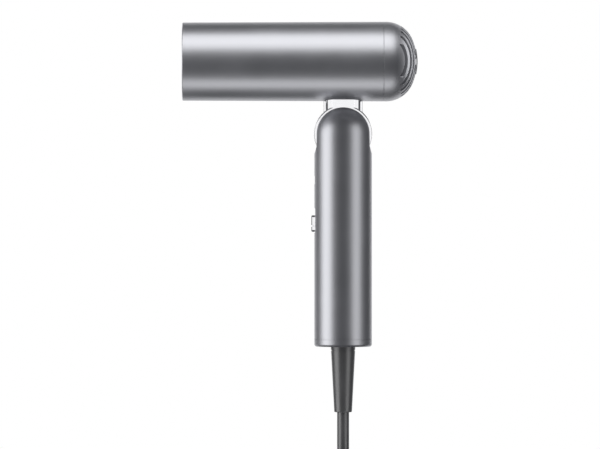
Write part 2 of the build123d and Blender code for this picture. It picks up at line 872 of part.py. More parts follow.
def make_bottom_cap():
    disc = rod("Z", bottom_z, cap_top_z, handle_radius)
    disc = fillet(disc.edges().group_by(Axis.Z)[0], bottom_edge_round)
    spigot = rod("Z", cap_top_z, chassis_bottom, handle_bore - fit_gap / 2)
    cap = disc + spigot
    cap -= rod("Z", bottom_z + bottom_cap_floor, chassis_bottom, handle_bore - spigot_wall)
    cap -= rod("Z", bottom_z, cap_top_z, relief_top_radius)
    for x in (-cap_screw_x, cap_screw_x):
        cap -= rod("Z", bottom_z, cap_top_z, screw_radius + 0.2, at=(x, 0, 0))
        cap -= rod("Z", bottom_z, bottom_z + 0.2 + screw_head_height, screw_head + 0.1, at=(x, 0, 0))
    return cap


def make_bottom_screws():
    screws = []
    low = bottom_z + 0.2
    for x in (-cap_screw_x, cap_screw_x):
        head = rod("Z", low, low + screw_head_height, screw_head, at=(x, 0, 0))
        shank = rod("Z", low, low + screw_head_height + screw_length - 1.5, screw_radius, at=(x, 0, 0))
        drive = Pos(x, 0, low) * (Box(2.6, 0.6, 1.0) + Box(0.6, 2.6, 1.0))
        screws.append(head + shank - drive)
    return Compound(children=screws)


def make_chassis():
    """The cradle in the handle: a ring at the foot, two side rails, an open ring on top and screw bosses."""
    outer, inner = handle_bore - fit_gap, handle_bore - 3.0
    ring_height = 4.0
    half_rail = 7.0
    foot = bottom_z + bottom_cap_floor
    top_ring = chassis_top - ring_height
    cradle = rod("Z", chassis_bottom, chassis_top, outer, inner)
    cradle &= block((-half_rail, half_rail), (-outer, outer), (chassis_bottom, chassis_top))
    cradle += rod("Z", chassis_bottom, chassis_bottom + ring_height, outer, inner)
    cradle += rod("Z", top_ring, chassis_top, outer, inner)
    cradle -= block((-outer, -9), (-12.5, 12.5), (top_ring, chassis_top))
    for place in fork_screw_places:
        cradle += rod("Z", top_ring, chassis_top, boss_radius, at=place)
    for place in fork_screw_places:
        cradle -= rod("Z", top_ring - 1, chassis_top, screw_hole, at=place)
    for side in (-1, 1):
        place = (side * cap_screw_x, 0, 0)
        cradle += rod("Z", foot, chassis_bottom + ring_height, boss_radius, at=place)
        cradle -= rod("Z", foot, chassis_bottom + ring_height, screw_hole, at=place)
    cradle -= rod("Z", chassis_top - 8, chassis_top, loom_radius + 0.4, at=(0, loom_y, 0))
    return cradle - power_board_blank(fit_gap / 2)


def power_board_blank(gap):
    return block(
        (power_board_face - gap, power_board_face + board_thickness + gap),
        (-power_board_half_width - gap, power_board_half_width + gap),
        (power_board_low - gap, power_board_high + gap),
    )


spacer_places = [(y, z) for y in (-8.5, 8.5) for z in (3.0, 36.0)]


def make_power_board():
    return power_board_blank(0)


def make_control_board():
    return block(
        (control_board_face, control_board_face + board_thickness),
        (-control_board_half_width, control_board_half_width),
        (control_board_low, control_board_high),
    )


def make_board_spacers():
    start, end = control_board_face + board_thickness, power_board_face
    return Compound(children=[rod("X", start, end, spacer_radius, at=(0, y, z)) for y, z in spacer_places])


def make_tact_switch():
    face = tact_plunger - tact_top
    case = block((face, control_board_face), (-3, 3), (button_level - 3, button_level + 3))
    return case + rod("X", -tact_top, face, 1.5, at=(0, 0, button_level))


def make_slide_switch():
    low, high = slider_stem()
    return block((-carriage_inner + 0.6, control_board_face), (-3.2, 3.2), (low - 4, high + slider_travel + 4))


def component_face():
    return power_board_face + board_thickness


def make_power_capacitor():
    return rod("Z", *capacitor_levels, capacitor_radius, at=(component_face() + capacitor_radius, 0, 0))


def make_line_choke():
    face = component_face()
    return rod("X", face, face + choke_height, choke_radius, choke_bore, at=(0, 0, choke_level))


def make_power_switch_chip():
    face = component_face()
    return block((face, face + chip_thickness), (-chip_width / 2, chip_width / 2), chip_levels)


def make_heat_sink():
    face = component_face() + chip_thickness
    half_fin = fin_thickness / 2
    reach = (fin_count - 1) / 2 * fin_pitch + 2 * half_fin - 0.2
    sink = block((face, face + sink_base), (-reach, reach), sink_levels)
    for i in range(fin_count):
        y = (i - (fin_count - 1) / 2) * fin_pitch
        sink += block((face + sink_base, face + sink_height), (y - half_fin, y + half_fin), sink_levels)
    return sink


def make_mains_lead():
    """The cord's own sheath above its strain relief, and the two wires that reach the power board."""
    sheath_top = power_board_low - 1.5
    lead = rod("Z", bottom_z + bottom_cap_floor + relief_flange, sheath_top, cord_radius)
    for y in (-2.0, 2.0):
        lead += rod("Z", sheath_top - 1, sheath_top + 9, 1.1, at=(0.7, y, 0))
    return lead


# ---- Strain relief, cord and plug ---------------------------------------------------------------------


def make_strain_relief():
    flange_low = bottom_z + bottom_cap_floor
    sleeve = rod("Z", bottom_z, flange_low, relief_top_radius)
    flange = rod("Z", flange_low, flange_low + relief_flange, relief_flange_radius)
    middle = bottom_z - relief_length / 2
    taper = Pos(0, 0, middle) * Cone(relief_end_radius, relief_top_radius, relief_length)
    taper = fillet(taper.edges().group_by(Axis.Z)[0], 0.6)
    groove = rod("Z", bottom_z - 3.0, bottom_z - 2.2, relief_top_radius + 1, relief_top_radius - 0.45)
    return sleeve + flange + taper - groove


def make_cord():
    return rod("Z", hank_top - 1, relief_end_z, cord_radius) - make_cord_hank()


def hank_face(reach, waist):
    """A dog-bone face: two round end loops of this reach, joined by a waist."""
    flank, level = reach * sin(radians(70)), hank_half_run - reach * cos(radians(70))
    quarter = [(flank, level), (waist, tie_height / 2)]
    right = quarter + [(x, -z) for x, z in reversed(quarter)]
    left = [(-x, z) for x, z in reversed(right)]
    ends = [Pos(0, side * hank_half_run) * Circle(reach) for side in (-1, 1)]
    return make_face(Polyline(*right, *left, close=True)) + ends


def make_cord_hank():
    """The hank's outer shape, with the lead and the tail running through its two end loops."""
    face = hank_face(hank_outer + cord_radius, tie_half_width)
    for side in (-1, 1):
        face -= Pos(0, side * hank_half_run) * Circle(hank_bulb - cord_radius)
    plane = Plane((0, 0, hank_middle), x_dir=(1, 0, 0), z_dir=(0, -1, 0))
    turns = extrude(plane * face, hank_half_depth, both=True)
    run = hank_half_run + hank_bulb
    return turns + rod("Z", hank_middle - run, hank_middle + run, cord_radius)


def make_cord_tie():
    half_x, half_y = tie_half_width, hank_half_depth
    low = hank_middle - tie_height / 2
    plane = Plane.XY.offset(low)
    corner = cord_radius
    outer = RectangleRounded(
        2 * (half_x + tie_thickness), 2 * (half_y + tie_thickness), min(corner, half_y)
    )
    inner = Rectangle(2 * half_x, 2 * half_y)
    return extrude(plane * (outer - inner), tie_height)


def make_plug_body():
    """A two-pin plug: a flat oval body with a tapered strain relief and finger notches in its sides."""
    top = plug_face + plug_length
    base = Plane.XY.offset(plug_face) * SlotOverall(plug_width, plug_depth)
    waist = Plane.XY.offset(plug_face + plug_length * 0.55) * SlotOverall(plug_width * 0.86, plug_depth * 0.8)
    neck = Plane.XY.offset(top) * SlotOverall(plug_width * 0.5, plug_depth * 0.56)
    body = loft([base, waist, neck])
    relief = Cone(plug_depth * 0.27, cord_radius + 1.2, plug_relief_length)
    relief = Pos(0, 0, top + plug_relief_length / 2) * relief
    for i in range(plug_groove_count):
        level = top + plug_groove_start + i * plug_groove_pitch
        relief -= rod("Z", level, level + plug_groove, plug_depth, cord_radius + 1.0)
    return body + relief


def plug_pins():
    x = plug_pin_spacing / 2
    pin = rod("Z", plug_face - plug_pin_length, plug_face, plug_pin_radius)
    pin = fillet(pin.edges().group_by(Axis.Z)[0], 1.2)
    return [Pos(side * x, 0, 0) * pin for side in (-1, 1)]


def make_plug_pins():
    return Compound(children=plug_pins())


def make_plug_lead():
    """The short stretch of cord between the hank and the plug."""
    return rod("Z", plug_top, hank_bottom + 1, cord_radius) - make_cord_hank()


# ---- Writing the pieces -------------------------------------------------------------------------------

PIECES = {
    # the head, which folds
    "head_tube": make_head_tube,
    "outlet_ring": make_outlet_ring,
    "attachment_magnets": make_attachment_magnets,
    "outlet_grille": make_outlet_grille,
    "ion_needle": make_ion_needle,
    "heater_liner": make_heater_liner,
    "heater_frame": make_heater_frame,
    "heater_coils": make_heater_coils,
    "thermal_cutout": make_thermal_cutout,
    "flow_duct": make_flow_duct,
    "motor_carrier": make_motor_carrier,
    "motor_damper": make_motor_damper,
    "motor_casing": make_motor_casing,
    "stator_core": make_stator_core,
    "motor_bearings": make_motor_bearings,
    "motor_board": make_motor_board,
    "knuckle": make_knuckle,
    "knuckle_saddle": make_knuckle_saddle,
    "saddle_screws": make_saddle_screws,
    "hinge_bushes": make_hinge_bushes,
    "detent_ball": make_detent_ball,
    "head_loom": make_head_loom,
    # the motor's rotor, which spins
    "impeller": make_impeller,
    "rotor_shaft": make_rotor_shaft,
    # the rear cover, which pulls off
    "rear_cover": make_rear_cover,
    "inlet_grille": make_inlet_grille,
    "centre_cap": make_centre_cap,
    "filter_frame": make_filter_frame,
    "filter_mesh": make_filter_mesh,
    # the handle
    "handle_shell": make_handle_shell,
    "hinge_fork": make_hinge_fork,
    "hinge_pin": make_hinge_pin,
    "pin_clip": make_pin_clip,
    "fork_screws": make_fork_screws,
    "handle_loom": make_handle_loom,
    "chassis": make_chassis,
    "power_board": make_power_board,
    "control_board": make_control_board,
    "board_spacers": make_board_spacers,
    "tact_switch": make_tact_switch,
    "slide_switch": make_slide_switch,
    "power_capacitor": make_power_capacitor,
    "line_choke": make_line_choke,
    "power_switch_chip": make_power_switch_chip,
    "heat_sink": make_heat_sink,
    "mains_lead": make_mains_lead,
    "indicator_lenses": make_indicator_lenses,
    "bottom_cap": make_bottom_cap,
    "bottom_screws": make_bottom_screws,
    "strain_relief": make_strain_relief,
    # the controls
    "power_slider": make_power_slider,
    "heat_button": make_heat_button,
    # the cord and what is on it
    "cord": make_cord,
    "cord_hank": make_cord_hank,
    "cord_tie": make_cord_tie,
    "plug_lead": make_plug_lead,
    "plug_body": make_plug_body,
    "plug_pins": make_plug_pins,
}

os.makedirs("parts", exist_ok=True)
for name, make in PIECES.items():
    export_step(make(), f"parts/{name}.step")
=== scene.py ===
"""The looks of a folding hair dryer, as an add-on with one operator for each group of pieces.

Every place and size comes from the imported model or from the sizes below, in metres and in the model's frame.
"""

import json
from functools import cache
from math import asin, atan2, cos, degrees, hypot, pi, radians, tan

import bpy
import numpy as np
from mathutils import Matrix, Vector


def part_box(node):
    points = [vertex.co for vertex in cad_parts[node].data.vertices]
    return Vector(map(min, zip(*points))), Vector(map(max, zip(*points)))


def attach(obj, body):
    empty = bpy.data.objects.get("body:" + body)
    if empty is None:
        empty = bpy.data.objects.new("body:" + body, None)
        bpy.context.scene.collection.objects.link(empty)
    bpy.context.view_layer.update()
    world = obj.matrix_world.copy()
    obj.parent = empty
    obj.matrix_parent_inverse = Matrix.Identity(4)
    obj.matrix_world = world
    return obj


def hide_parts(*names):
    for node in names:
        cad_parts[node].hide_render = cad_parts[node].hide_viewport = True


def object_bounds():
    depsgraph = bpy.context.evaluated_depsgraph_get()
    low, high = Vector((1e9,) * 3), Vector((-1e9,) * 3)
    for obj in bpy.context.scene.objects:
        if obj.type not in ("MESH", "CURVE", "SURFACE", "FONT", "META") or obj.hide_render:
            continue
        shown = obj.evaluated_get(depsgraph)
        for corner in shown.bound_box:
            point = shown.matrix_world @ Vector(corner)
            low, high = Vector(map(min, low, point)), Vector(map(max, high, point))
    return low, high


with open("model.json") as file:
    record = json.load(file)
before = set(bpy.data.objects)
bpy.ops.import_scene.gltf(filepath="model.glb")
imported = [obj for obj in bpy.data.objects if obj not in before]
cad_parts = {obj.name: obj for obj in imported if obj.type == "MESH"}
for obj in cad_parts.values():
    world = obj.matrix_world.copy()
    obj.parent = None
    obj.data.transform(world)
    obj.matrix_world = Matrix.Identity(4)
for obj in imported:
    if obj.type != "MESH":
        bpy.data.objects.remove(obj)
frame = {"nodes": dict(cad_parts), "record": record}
cad_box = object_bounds()

bl_info = {
    "name": "Folding hair dryer",
    "version": (1, 0, 0),
    "blender": (4, 5, 0),
    "location": "View3D > Sidebar > Hair dryer",
    "description": "Finishes, mains cord and fine pieces of a folding hair dryer",
    "category": "Object",
}

MM = 0.001


def size_of(node):
    """A node's extent along X, Y and Z."""
    low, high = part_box(node)
    return high - low


def middle_of(node):
    """The middle of a node's box."""
    low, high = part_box(node)
    return (low + high) / 2


def add_object(name, data):
    """A new object in the scene, with this data."""
    added = bpy.data.objects.new(name, data)
    bpy.context.scene.collection.objects.link(added)
    return added


# ---- Sizes and colours that a user would change -------------------------------------------------------


def length_property(name, description, default):
    return bpy.props.FloatProperty(
        name=name, description=description, default=default, subtype="DISTANCE", precision=5
    )


def colour_property(name, description, default):
    return bpy.props.FloatVectorProperty(
        name=name, description=description, default=default, size=3, subtype="COLOR", min=0.0, max=1.0
    )


class CordSizes(bpy.types.PropertyGroup):
    """The mains cord and the hank that its spare length is folded into."""

    diameter: length_property("Cord diameter", "Outside diameter of the cord", size_of("cord").x)
    inner_loop: length_property("Inner loop", "Radius of the inner end loops, to the cord's middle", 27 * MM)
    half_run: length_property("Half run", "Middle of the hank to the centre of each end loop", 66 * MM)
    waist: length_property("Waist", "Half the straight stretch that the tie holds", 10 * MM)
    length: length_property("Length", "Free length from the strain relief to the plug", 1.70)
    strap_thickness: length_property("Strap thickness", "Thickness of the tie's strap", 1.3 * MM)


class FinePieceSizes(bpy.types.PropertyGroup):
    """Fine pieces that Blender makes in place of the plain ones."""

    winding_wire: length_property("Winding wire", "Diameter of the heater's resistance wire", 0.6 * MM)
    winding_pitch: length_property("Winding pitch", "Distance between the heater's turns", 2.5 * MM)


class FinishColours(bpy.types.PropertyGroup):
    """Base colours of the finishes, in linear light."""

    shell: colour_property("Shell", "Satin metal of the head and the handle", (0.548, 0.552, 0.580))
    chrome: colour_property("Chrome", "Polished knuckle, knob and centre cap", (0.90, 0.90, 0.91))
    button: colour_property("Button", "Satin heat button", (0.30, 0.30, 0.31))
    lens: colour_property("Lens", "Milky light pipes", (0.86, 0.88, 0.90))
    rubber: colour_property("Rubber", "Cord sheath and strain relief", (0.040, 0.040, 0.042))
    dark: colour_property("Dark plastic", "Moulded inner parts", (0.035, 0.036, 0.039))


class StudioSettings(bpy.types.PropertyGroup):
    """The camera and the lights."""

    distance: length_property("Camera distance", "From the object to the camera", 4.0)
    view_width: length_property("View width", "Width of the picture at the object", 417.7 * MM)
    aim_x: length_property("Aim X", "Middle of the picture along X", -30.0 * MM)
    aim_z: length_property("Aim Z", "Middle of the picture along Z", 11.0 * MM)
    floor_gap: length_property("Floor gap", "Space between the lowest piece and the floor", 12 * MM)
    key: bpy.props.FloatProperty(
        name="Key", description="Strength of all the soft lights", default=1.0, min=0.0
    )


# ---- Shader graphs ------------------------------------------------------------------------------------

# A Mix node's sockets for its factor and two colours, and its output for their blend.
MIX_FACTOR, MIX_FIRST, MIX_SECOND, MIX_COLOUR = 0, 6, 7, 2


class Value:
    """A number on a shader socket. Arithmetic on it adds Math nodes."""

    def __init__(self, finish, output):
        self.finish, self.output = finish, output

    def math(self, operation, first, second=0.0):
        return self.finish.node("ShaderNodeMath", {"operation": operation}, {0: first, 1: second})

    def __add__(self, other):
        return self.math("ADD", self, other)

    __radd__ = __add__

    def __sub__(self, other):
        return self.math("SUBTRACT", self, other)

    def __rsub__(self, other):
        return self.math("SUBTRACT", other, self)

    def __mul__(self, other):
        return self.math("MULTIPLY", self, other)

    __rmul__ = __mul__

    def __truediv__(self, other):
        return self.math("DIVIDE", self, other)

    def __rtruediv__(self, other):
        return self.math("DIVIDE", other, self)

    def __pow__(self, power):
        return self.math("POWER", self, power)

    def __gt__(self, limit):
        return self.math("GREATER_THAN", self, limit)

    def __lt__(self, limit):
        return self.math("LESS_THAN", self, limit)

    def sine(self):
        return self.math("SINE", self)

    def sawtooth(self):
        return self.math("FRACT", self)

    def larger(self, other):
        return self.math("MAXIMUM", self, other)


class Finish:
    """A material with one Principled shader, whose varying sockets are fed by a graph."""

    def __init__(self, name, **constants):
        self.material = bpy.data.materials.new(name)
        self.material.use_nodes = True
        self.tree = self.material.node_tree
        self.shader = self.tree.nodes["Principled BSDF"]
        for socket, value in constants.items():
            self.feed(self.shader.inputs[socket.replace("_", " ")], value)

    def feed(self, socket, value):
        """Links a value to a socket, or sets the socket where the value is a plain number or colour."""
        if isinstance(value, Value):
            self.tree.links.new(value.output, socket)
        elif socket.type == "RGBA":
            socket.default_value = (*value, 1.0)
        else:
            socket.default_value = value

    def node(self, kind, settings=None, inputs=None, output=0):
        """Adds a node: first its settings, such as a ramp's stops, then its sockets' values or links."""
        made = self.tree.nodes.new(kind)
        for key, setting in (settings or {}).items():
            if key == "stops":
                self.set_stops(made.color_ramp, setting)
            else:
                setattr(made, key, setting)
        for key, value in (inputs or {}).items():
            self.feed(made.inputs[key], value)
        return Value(self, made.outputs[output])

    def set_stops(self, ramp, stops):
        while len(ramp.elements) < len(stops):
            ramp.elements.new(1.0)
        for element, (place, colour) in zip(ramp.elements, stops):
            element.position = place
            element.color = (*colour, 1.0)

    def places(self, scale=(1.0, 1.0, 1.0), turn=(0.0, 0.0, 0.0), on_surface=False):
        """Places on the piece, or along its own surface, turned and stretched."""
        place = self.node("ShaderNodeTexCoord", output="UV" if on_surface else "Object")
        inputs = {"Vector": place, "Rotation": turn, "Scale": scale}
        return self.node("ShaderNodeMapping", {"vector_type": "POINT"}, inputs)

    def axes(self, place):
        """The three coordinates of a place."""
        first = self.node("ShaderNodeSeparateXYZ", inputs={"Vector": place})
        return [Value(self, output) for output in first.output.node.outputs]

    def noise(self, place, scale, detail=2.0, roughness=0.5):
        """Cloudy noise between 0 and 1, with this many grains to a metre."""
        inputs = {"Vector": place, "Scale": scale, "Detail": detail, "Roughness": roughness}
        return self.node("ShaderNodeTexNoise", inputs=inputs)

    def cells(self, place, scale, feature="F1"):
        """Distance to the nearest of scattered points, with this many points to a metre."""
        return self.node("ShaderNodeTexVoronoi", {"feature": feature}, {"Vector": place, "Scale": scale})

    def blend(self, amount, first, second):
        """One colour to another as the amount goes from 0 to 1."""
        inputs = {MIX_FACTOR: amount, MIX_FIRST: first, MIX_SECOND: second}
        return self.node("ShaderNodeMix", {"data_type": "RGBA"}, inputs, MIX_COLOUR)

    def span(self, value, low, high, start=0.0, end=1.0):
        """The value's stretch from low to high, as start to end and no further."""
        return self.node(
            "ShaderNodeMapRange", {"clamp": True},
            {"Value": value, "From Min": low, "From Max": high, "To Min": start, "To Max": end},
        )

    def colour(self, value):
        self.feed(self.shader.inputs["Base Color"], value)
        return self

    def rough(self, value):
        self.feed(self.shader.inputs["Roughness"], value)
        return self

    def relief(self, height, depth, strength):
        """Raises the surface by the height, which goes from 0 to 1, times the depth in metres."""
        inputs = {"Strength": strength, "Distance": depth, "Height": height}
        self.feed(self.shader.inputs["Normal"], self.node("ShaderNodeBump", inputs=inputs))
        return self


# ---- Finishes -----------------------------------------------------------------------------------------


def tones():
    return bpy.context.scene.dryer_colours


def scaled(colour, factor):
    return tuple(min(1.0, channel * factor) for channel in colour)


def satin_metal(name="satin_anodised"):
    """Bead-blasted, anodised metal: a fine even grain, a cloudy sheen and a few hairline marks."""
    base = tuple(tones().shell)
    finish = Finish(name, Metallic=1.0, IOR=1.45)
    place = finish.places()
    grain = finish.noise(place, 4200, 2.0, 0.6)
    cloud = finish.noise(place, 38, 3.0, 0.55)
    hairs = finish.noise(finish.places((900, 60, 900), (0.3, 0.7, 0.2)), 1.0, 1.0)
    marks = finish.span(hairs, 0.70, 0.74)
    finish.colour(finish.blend(finish.span(cloud, 0.3, 0.7), scaled(base, 0.965), scaled(base, 1.03)))
    finish.rough(finish.span(cloud, 0.3, 0.7, 0.39, 0.42) + 0.03 * grain - 0.03 * marks)
    return finish.relief(grain, 0.004 * MM, 0.5)


def satin_cap():
    return satin_metal("satin_cap")


def polished_chrome():
    """Bright plating with a faint film of touch marks and a very shallow ripple."""
    finish = Finish("polished_chrome", Metallic=1.0)
    place = finish.places()
    film = finish.noise(place, 160, 4.0, 0.6)
    ripple = finish.noise(place, 90, 1.0)
    base = tuple(tones().chrome)
    finish.colour(finish.blend(finish.span(film, 0.35, 0.75), base, scaled(base, 0.96)))
    finish.rough(finish.span(film, 0.40, 0.72, 0.05, 0.12))
    return finish.relief(ripple, 0.02 * MM, 0.3)


def satin_button():
    """Satin painted plastic with a fine metallic grain."""
    base = tuple(tones().button)
    finish = Finish("satin_button", Metallic=0.85)
    place = finish.places()
    flake = finish.cells(place, 9000)
    finish.colour(finish.blend(finish.span(flake, 0.1, 0.6), scaled(base, 1.12), scaled(base, 0.9)))
    finish.rough(finish.span(finish.noise(place, 900), 0.3, 0.7, 0.30, 0.40))
    return finish.relief(finish.noise(place, 5200), 0.003 * MM, 0.5)


def milky_lens():
    """A milky light pipe, with a cloudy haze in its colour and roughness."""
    base = tuple(tones().lens)
    finish = Finish("milky_lens", Coat_Weight=0.6, Coat_Roughness=0.05, IOR=1.49)
    haze = finish.noise(finish.places(), 2600, 3.0)
    finish.colour(finish.blend(finish.span(haze, 0.3, 0.7), base, scaled(base, 0.86)))
    finish.rough(finish.span(haze, 0.3, 0.7, 0.18, 0.30))
    return finish.relief(haze, 0.002 * MM, 0.3)


def moulded_plastic(name="moulded_dark", base=None, pebbles=2600, depth=0.010, low=0.42, high=0.58):
    """Injection moulded plastic with the fine pebbled texture of its mould.

    The pebbles are so many to a metre and so many millimetres deep. The roughness goes from low to high.
    """
    base = tuple(base or tones().dark)
    finish = Finish(name, IOR=1.5)
    place = finish.places()
    pebble = finish.cells(place, pebbles, "SMOOTH_F1")
    cloud = finish.noise(place, 55, 3.0)
    finish.colour(finish.blend(finish.span(cloud, 0.3, 0.7), scaled(base, 0.88), scaled(base, 1.14)))
    finish.rough(finish.span(cloud, 0.3, 0.7, low, high))
    return finish.relief(pebble, depth * MM, 0.6)


def plug_moulding():
    base = scaled(tuple(tones().rubber), 0.9)
    return moulded_plastic("plug_moulding", base, pebbles=1900, depth=0.014, low=0.38, high=0.5)


def soft_rubber():
    """Cord sheath: a matt skin with fine pits and slightly paler, drier patches."""
    base = tuple(tones().rubber)
    finish = Finish("cord_sheath", IOR=2.1)
    place = finish.places()
    pits = finish.noise(place, 3600, 3.0, 0.65)
    bloom = finish.noise(place, 42, 4.0, 0.6)
    finish.colour(finish.blend(finish.span(bloom, 0.35, 0.75), base, scaled(base, 1.22)))
    finish.rough(finish.span(bloom, 0.3, 0.7, 0.34, 0.41))
    return finish.relief(pits, 0.008 * MM, 0.5)


def damping_rubber():
    base = (0.03, 0.03, 0.031)
    return moulded_plastic("damping_rubber", base, pebbles=3200, depth=0.012, low=0.62, high=0.75)


def hook_and_loop():
    """A woven strap covered in fine loops: rows of weave under a fuzzy pile."""
    finish = Finish("hook_and_loop", IOR=1.5, Sheen_Weight=0.35, Sheen_Roughness=0.55)
    along, across, _ = finish.axes(finish.places(on_surface=True))
    pitch_along, pitch_across = 1.1 * MM, 0.9 * MM
    weave = (along * 2 * pi / pitch_along).sine() * (across * 2 * pi / pitch_across).sine()
    pile = finish.noise(finish.places(), 5200, 3.0, 0.7)
    height = finish.span(weave, -1.0, 1.0) * 0.6 + pile * 0.5
    # The colour is darkest in the low hollows of the weave and pile and palest at their tips: painted shade in
    # the hollows.
    painted_shade_hollows, tips = (0.008, 0.008, 0.009), (0.034, 0.034, 0.037)
    finish.colour(finish.blend(finish.span(height, 0.2, 0.9), painted_shade_hollows, tips))
    finish.rough(finish.span(pile, 0.3, 0.7, 0.78, 0.95))
    return finish.relief(height, 0.18 * MM, 0.9)


def bright_nickel():
    """Nickel plated pins with lengthways rubbing marks from the socket."""
    finish = Finish("bright_nickel", Metallic=1.0)
    rubs = finish.noise(finish.places((1400, 1400, 60)), 1.0, 3.0)
    tone = finish.noise(finish.places(), 210, 2.0)
    finish.colour(finish.blend(finish.span(tone, 0.3, 0.7), (0.66, 0.63, 0.57), (0.74, 0.71, 0.66)))
    finish.rough(finish.span(rubs, 0.35, 0.7, 0.14, 0.32))
    return finish.relief(rubs, 0.006 * MM, 0.4)


def turned_metal(name, base, pitch=0.28, low=0.22, high=0.36):
    """Metal turned on a lathe: feed marks at a pitch in millimetres, over a cloudy tone.

    The marks lie across X, with a lean towards Z. The roughness goes from low to high.
    """
    finish = Finish(name, Metallic=1.0)
    place = finish.places()
    x, _, z = finish.axes(place)
    along = x + 0.31 * z
    rings = finish.span((along * 2 * pi / (pitch * MM)).sine(), -1.0, 1.0)
    tone = finish.noise(place, 120, 3.0)
    finish.colour(finish.blend(finish.span(tone, 0.3, 0.7), scaled(base, 0.86), scaled(base, 1.08)))
    finish.rough(finish.span(tone, 0.3, 0.7, low, high))
    return finish.relief(rings, 0.006 * MM, 0.4)


def turned_steel():
    return turned_metal("turned_steel", (0.52, 0.52, 0.53))


def turned_brass():
    return turned_metal("turned_brass", (0.72, 0.53, 0.25), pitch=0.4)


def machined_alloy():
    return turned_metal("machined_alloy", (0.70, 0.71, 0.72), pitch=0.5, low=0.26, high=0.4)


def nickelled_magnet():
    return turned_metal("nickelled_magnet", (0.60, 0.60, 0.61), pitch=0.9, low=0.10, high=0.2)


def die_cast():
    """Zinc casting: a bead-blasted skin with shallow flow patches."""
    finish = Finish("die_cast", Metallic=0.9)
    place = finish.places()
    beads = finish.cells(place, 3000, "SMOOTH_F1")
    flow = finish.noise(place, 90, 4.0, 0.6)
    finish.colour(finish.blend(finish.span(flow, 0.3, 0.7), (0.24, 0.24, 0.25), (0.34, 0.34, 0.35)))
    finish.rough(finish.span(flow, 0.3, 0.7, 0.42, 0.58))
    return finish.relief(beads, 0.02 * MM, 0.6)


def mica_sheet():
    """Mica board: pressed flakes, amber and silver, with glossy faces."""
    finish = Finish("mica_sheet", IOR=1.58)
    place = finish.places()
    flake = finish.cells(place, 900)
    cloud = finish.noise(place, 320, 4.0, 0.6)
    silver, amber = (0.66, 0.58, 0.40), (0.42, 0.33, 0.19)
    finish.colour(finish.blend(finish.span(flake + 0.4 * cloud, 0.3, 0.9), silver, amber))
    finish.rough(finish.span(cloud, 0.3, 0.7, 0.28, 0.55))
    return finish.relief(flake, 0.02 * MM, 0.4)


def heated_wire():
    """Resistance wire, tinted straw, violet and blue where it has run hot."""
    finish = Finish("heated_wire", Metallic=1.0)
    place = finish.places()
    heat = finish.noise(place, 130, 2.0)
    plain, straw = (0.42, 0.40, 0.38), (0.46, 0.34, 0.20)
    violet, blue = (0.28, 0.18, 0.24), (0.15, 0.18, 0.27)
    stops = [(0.30, plain), (0.48, straw), (0.60, violet), (0.72, blue)]
    finish.colour(finish.node("ShaderNodeValToRGB", {"stops": stops}, {"Fac": heat}))
    finish.rough(finish.span(heat, 0.3, 0.7, 0.3, 0.5))
    return finish.relief(finish.noise(place, 6000), 0.004 * MM, 0.5)


def laminated_steel():
    """A stack of stamped sheets: thin dark lines between them, across the motor's axis."""
    finish = Finish("laminated_steel", Metallic=0.9)
    place = finish.places()
    sheet_thickness, seam_share = 0.5 * MM, 0.2
    seam = (finish.axes(place)[0] / sheet_thickness).sawtooth() < seam_share
    tone = finish.noise(place, 400, 3.0)
    finish.colour(finish.blend(seam, (0.36, 0.36, 0.38), (0.05, 0.05, 0.06)))
    finish.rough(finish.span(tone, 0.3, 0.7, 0.35, 0.5) + 0.2 * seam)
    return finish.relief(1.0 - seam, 0.05 * MM, 0.5)


def circuit_board():
    """Solder mask over copper: tracks on a grid, round plated pads and a fine glass weave."""
    finish = Finish("circuit_board", IOR=1.5, Coat_Roughness=0.1)
    place = finish.places()
    _, y, z = finish.axes(place)
    on_board = finish.places(turn=(radians(90), 0, radians(90)))
    tracks = {"Vector": on_board, "Scale": 130.0, "Mortar Size": 0.09, "Mortar Smooth": 0.1}
    route = finish.node("ShaderNodeTexBrick", {"offset": 0.37, "squash": 0.6}, tracks, "Fac")
    pads = finish.cells(place, 210) < 0.16
    glass_pitch = 0.5 * MM
    weave = (y * 2 * pi / glass_pitch).sine() * (z * 2 * pi / glass_pitch).sine()
    mask = finish.blend(route, (0.012, 0.105, 0.045), (0.022, 0.175, 0.075))
    finish.colour(finish.blend(pads, mask, (0.62, 0.60, 0.55)))
    finish.feed(finish.shader.inputs["Metallic"], pads * 0.9)
    finish.rough(finish.span(weave, -1, 1, 0.30, 0.38) + 0.02 * route)
    return finish.relief(route * 0.7 + pads, 0.03 * MM, 0.6)


def acetal():
    base = (0.74, 0.73, 0.68)
    return moulded_plastic("acetal", base, pebbles=4200, depth=0.004, low=0.34, high=0.46)


def wire_sleeve():
    """Braided sleeve over wires: a tight diagonal weave."""
    finish = Finish("wire_sleeve", IOR=1.5)
    x, y, z = finish.axes(finish.places())
    pitch = 0.8 * MM
    first = ((x + y + z) * 2 * pi / pitch).sine()
    second = ((x + y - z) * 2 * pi / pitch).sine()
    weave = finish.span(first * second, -1.0, 1.0)
    # The colour is darker where the weave is low, between the strands, than on the raised strands: painted
    # shade between the strands.
    finish.colour(finish.blend(weave, (0.02, 0.02, 0.022), (0.085, 0.085, 0.09)))
    finish.rough(finish.span(weave, 0, 1, 0.45, 0.6))
    return finish.relief(weave, 0.1 * MM, 0.7)


def capacitor_sleeve():
    """A shrunk plastic sleeve with one plain stripe down its side."""
    finish = Finish("capacitor_sleeve", IOR=1.5, Coat_Weight=0.4, Coat_Roughness=0.15)
    place = finish.places()
    stripe_from = 3.0 * MM
    stripe = finish.axes(place)[1] > stripe_from
    ripple = finish.noise(place, 420, 2.0)
    finish.colour(finish.blend(stripe, (0.012, 0.016, 0.05), (0.48, 0.49, 0.50)))
    finish.rough(finish.span(ripple, 0.3, 0.7, 0.22, 0.34))
    return finish.relief(ripple, 0.05 * MM, 0.4)


def ferrite_core():
    base = (0.075, 0.073, 0.072)
    return moulded_plastic("ferrite_core", base, pebbles=2100, depth=0.03, low=0.6, high=0.75)


